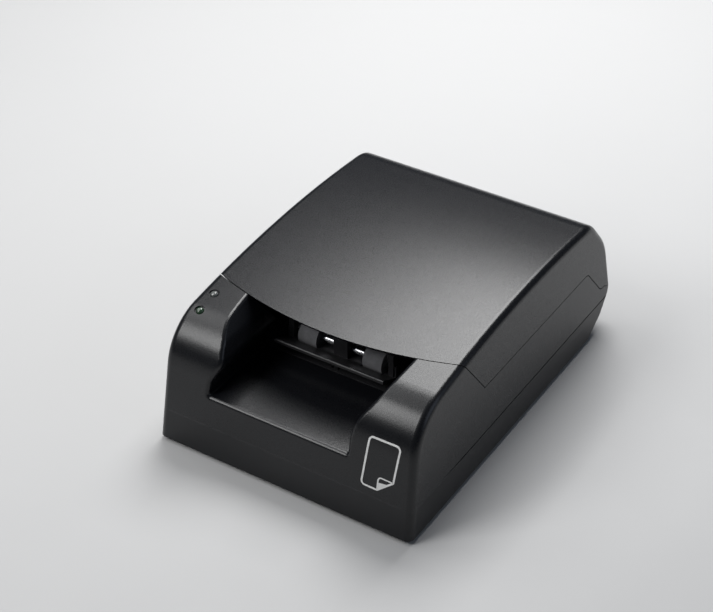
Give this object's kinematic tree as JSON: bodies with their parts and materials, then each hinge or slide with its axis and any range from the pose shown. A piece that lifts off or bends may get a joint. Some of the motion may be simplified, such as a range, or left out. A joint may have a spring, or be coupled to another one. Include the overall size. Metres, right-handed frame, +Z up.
{
  "type": "card scanner",
  "caption": "Compact desktop card scanner with a scooped front mouth between two cheeks and a hinged top cover over a motorised card feed.",
  "frame": {"origin": "on the table, under the middle of the case's footprint", "axes": "+Z up; +Y from the card mouth to the rear; +X to the right as seen from the mouth"},
  "size_m": [0.1082, 0.1558, 0.0574],
  "materials": {
    "case_plastic": "fine texture",
    "base_plastic": "fine texture",
    "inner_plastic": "smooth",
    "roller_rubber": "ground",
    "foot_rubber": "moulded",
    "steel": "ground",
    "plated_steel": "zinc plated",
    "spring_steel": "bright",
    "bearing_plastic": "acetal",
    "gear_plastic": "acetal",
    "sensor_plastic": "moulded",
    "sensor_glass": "polished",
    "light_clear": "frosted",
    "light_green": "frosted",
    "circuit_board": "lacquered",
    "chip_plastic": "moulded",
    "connector_plastic": "moulded",
    "cable_plastic": "smooth",
    "magnet": "nickel plated"
  },
  "bodies": {
    "base": {"base_tray": "base_plastic", "body_shell": "case_plastic", "lower_guide": "inner_plastic", "lower_sensor": "sensor_plastic", "lower_sensor_glass": "sensor_glass", "feed_bushes": "bearing_plastic", "gear_posts": "steel", "post_clips": "spring_steel", "drive_bracket": "plated_steel", "motor": "plated_steel", "lever_pin": "steel", "card_switch": "sensor_plastic", "main_board": "circuit_board", "board_chips": "chip_plastic", "board_connectors": "connector_plastic", "usb_socket": "plated_steel", "usb_tongue": "chip_plastic", "power_socket": "chip_plastic", "power_pin": "steel", "rear_light_pipe": "light_clear", "front_light_pipe": "light_green", "indicator_board": "circuit_board", "indicator_lamps": "connector_plastic", "lower_sensor_cable": "cable_plastic", "indicator_cable": "cable_plastic", "hinge_cable": "cable_plastic", "rubber_feet": "foot_rubber", "base_screws": "plated_steel", "guide_screws": "plated_steel", "board_screws": "plated_steel", "bracket_screws": "plated_steel", "motor_screws": "plated_steel", "hinge_pins": "steel", "catch_magnets": "magnet"},
    "cover": {"top_cover": "case_plastic", "upper_guide": "inner_plastic", "upper_sensor": "sensor_plastic", "upper_sensor_glass": "sensor_glass", "front_press_spring": "spring_steel", "rear_press_spring": "spring_steel", "spring_screws": "plated_steel", "strike_plates": "plated_steel", "upper_guide_screws": "plated_steel", "cover_cable": "cable_plastic"},
    "front_press_axle": {"front_press_shaft": "steel"},
    "rear_press_axle": {"rear_press_shaft": "steel"},
    "front_press_wheels": {"front_press_rollers": "bearing_plastic"},
    "rear_press_wheels": {"rear_press_rollers": "bearing_plastic"},
    "front_feed": {"front_feed_shaft": "steel", "front_feed_rollers": "roller_rubber", "front_feed_gear": "gear_plastic"},
    "rear_feed": {"rear_feed_shaft": "steel", "rear_feed_rollers": "roller_rubber", "rear_feed_gear": "gear_plastic"},
    "idler": {"idler_gear": "gear_plastic"},
    "reduction": {"reduction_gear": "gear_plastic"},
    "motor_rotor": {"motor_shaft": "steel", "motor_pinion": "gear_plastic"},
    "lever": {"card_lever": "inner_plastic"}
  },
  "joints": [
    {"name": "cover_hinge", "type": "hinge", "parent": "base", "child": "cover", "pos_m": [0, 0.07505, 0.0212], "axis": [-1, 0, 0], "range_deg": [0, 75]},
    {"name": "front_press_travel", "type": "slide", "parent": "cover", "child": "front_press_axle", "axis": [0, 0, 1], "range_m": [0, 0.0009], "stiffness_N_per_m": 1500, "springref_m": -0.0008, "deforming": ["front_press_spring"]},
    {"name": "rear_press_travel", "type": "slide", "parent": "cover", "child": "rear_press_axle", "axis": [0, 0, 1], "range_m": [0, 0.0009], "stiffness_N_per_m": 1500, "springref_m": -0.0008, "deforming": ["rear_press_spring"]},
    {"name": "rear_feed_spin", "type": "hinge", "parent": "base", "child": "rear_feed", "pos_m": [0, -0.00445, 0.0206], "axis": [1, 0, 0], "continuous": true},
    {"name": "front_feed_spin", "type": "hinge", "parent": "base", "child": "front_feed", "pos_m": [0, -0.02845, 0.0206], "axis": [1, 0, 0], "continuous": true},
    {"name": "idler_spin", "type": "hinge", "parent": "base", "child": "idler", "pos_m": [0.0316, -0.01645, 0.0206], "axis": [1, 0, 0], "continuous": true},
    {"name": "reduction_spin", "type": "hinge", "parent": "base", "child": "reduction", "pos_m": [0.0331, 0.00406, 0.01767], "axis": [1, 0, 0], "continuous": true},
    {"name": "motor_spin", "type": "hinge", "parent": "base", "child": "motor_rotor", "pos_m": [0.0369, 0.01525, 0.0155], "axis": [1, 0, 0], "continuous": true},
    {"name": "front_press_spin", "type": "hinge", "parent": "front_press_axle", "child": "front_press_wheels", "pos_m": [0, -0.02845, 0.03175], "axis": [1, 0, 0], "continuous": true},
    {"name": "rear_press_spin", "type": "hinge", "parent": "rear_press_axle", "child": "rear_press_wheels", "pos_m": [0, -0.00445, 0.03175], "axis": [1, 0, 0], "continuous": true},
    {"name": "card_lever_swing", "type": "hinge", "parent": "base", "child": "lever", "pos_m": [-0.0035, -0.03465, 0.02035], "axis": [-1, 0, 0], "range_deg": [0, 45]}
  ],
  "couplings": [
    {"joint": "front_feed_spin", "follows": "rear_feed_spin", "ratio": 1},
    {"joint": "idler_spin", "follows": "rear_feed_spin", "ratio": -1},
    {"joint": "reduction_spin", "follows": "rear_feed_spin", "ratio": -2},
    {"joint": "motor_spin", "follows": "rear_feed_spin", "ratio": 7.5},
    {"joint": "front_press_spin", "follows": "rear_feed_spin", "ratio": -1.2},
    {"joint": "rear_press_spin", "follows": "rear_feed_spin", "ratio": -1.2}
  ]
}
